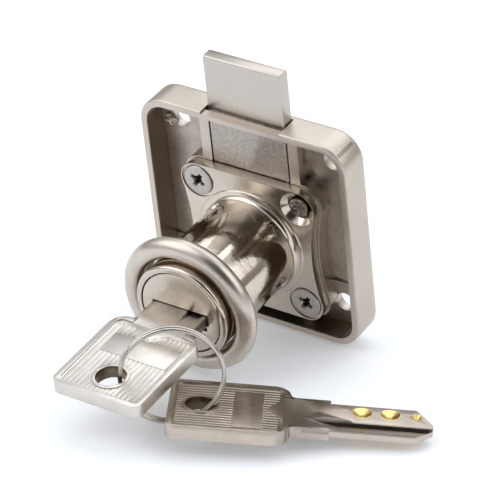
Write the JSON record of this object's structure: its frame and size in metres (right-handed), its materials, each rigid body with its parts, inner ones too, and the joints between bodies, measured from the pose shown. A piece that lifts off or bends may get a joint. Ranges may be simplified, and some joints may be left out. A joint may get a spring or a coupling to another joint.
{
  "type": "drawer lock",
  "caption": "Square surface-mounted drawer lock with a sliding bolt, a pin tumbler cylinder, a trim ring and two dimple keys on a split ring.",
  "frame": {"origin": "on the cylinder's axis, in the plane of the case's open rim", "axes": "+Z the way the bolt shoots, -Y towards the key, +X to the right seen from the key"},
  "size_m": [0.0662, 0.054, 0.0513],
  "materials": {
    "satin_nickel": "satin nickel plate",
    "cast_nickel": "nickel plate over a die casting",
    "bright_nickel": "polished nickel plate",
    "screw_steel": "bright zinc plated steel",
    "spring_steel": "drawn spring wire",
    "pin_brass": "turned brass"
  },
  "bodies": {
    "lock_body": {"case": "cast_nickel", "cylinder_housing": "bright_nickel", "retaining_dowel_1": "screw_steel", "retaining_dowel_2": "screw_steel", "flange_screw_1": "screw_steel", "flange_screw_2": "screw_steel", "flange_rivet_1": "bright_nickel", "flange_rivet_2": "bright_nickel", "chamber_cap_1": "bright_nickel", "chamber_cap_2": "bright_nickel", "chamber_cap_3": "bright_nickel", "pin_spring_1": "spring_steel", "pin_spring_2": "spring_steel", "pin_spring_3": "spring_steel"},
    "bolt": {"bolt": "satin_nickel"},
    "plug": {"plug": "satin_nickel", "drive_disc": "cast_nickel", "disc_screw": "screw_steel", "key_pin_1": "pin_brass", "key_pin_2": "pin_brass", "key_pin_3": "pin_brass"},
    "trim_ring": {"trim_ring": "satin_nickel"},
    "key_1": {"key_1": "satin_nickel"},
    "split_ring": {"split_ring": "spring_steel"},
    "key_2": {"key_2": "satin_nickel"},
    "driver_pin_1": {"driver_pin_1": "pin_brass"},
    "driver_pin_2": {"driver_pin_2": "pin_brass"},
    "driver_pin_3": {"driver_pin_3": "pin_brass"}
  },
  "joints": [
    {"name": "plug_turn", "type": "hinge", "parent": "lock_body", "child": "plug", "pos_m": [0, 0, 0], "axis": [0, 1, 0], "range_deg": [0, 180]},
    {"name": "bolt_slide", "type": "slide", "parent": "lock_body", "child": "bolt", "axis": [0, 0, 1], "range_m": [-0.0102, 0]},
    {"name": "key_1_withdraw", "type": "slide", "parent": "plug", "child": "key_1", "axis": [0, -1, 0], "range_m": [0, 0.025]},
    {"name": "trim_ring_slide", "type": "slide", "parent": "lock_body", "child": "trim_ring", "axis": [0, 1, 0], "range_m": [0, 0.015]},
    {"name": "split_ring_swing", "type": "hinge", "parent": "key_1", "child": "split_ring", "pos_m": [0, -0.0425, 0], "axis": [0, 0, 1], "range_deg": [-60, 5]},
    {"name": "key_2_swing", "type": "hinge", "parent": "split_ring", "child": "key_2", "pos_m": [0.01251, -0.03569, -0.00689], "axis": [0.011, 0.256, 0.9666], "range_deg": [-30, 25]},
    {"name": "driver_pin_1_lift", "type": "slide", "parent": "lock_body", "child": "driver_pin_1", "axis": [0, 0, -1], "range_m": [0, 0.0005], "stiffness_N_per_m": 100, "springref_m": -0.001, "deforming": ["pin_spring_1"]},
    {"name": "driver_pin_2_lift", "type": "slide", "parent": "lock_body", "child": "driver_pin_2", "axis": [0, 0, -1], "range_m": [0, 0.0005], "stiffness_N_per_m": 100, "springref_m": -0.001, "deforming": ["pin_spring_2"]},
    {"name": "driver_pin_3_lift", "type": "slide", "parent": "lock_body", "child": "driver_pin_3", "axis": [0, 0, -1], "range_m": [0, 0.0005], "stiffness_N_per_m": 100, "springref_m": -0.001, "deforming": ["pin_spring_3"]}
  ],
  "couplings": [
    {"joint": "bolt_slide", "follows": "plug_turn", "m_per_rad": -0.0032149}
  ]
}
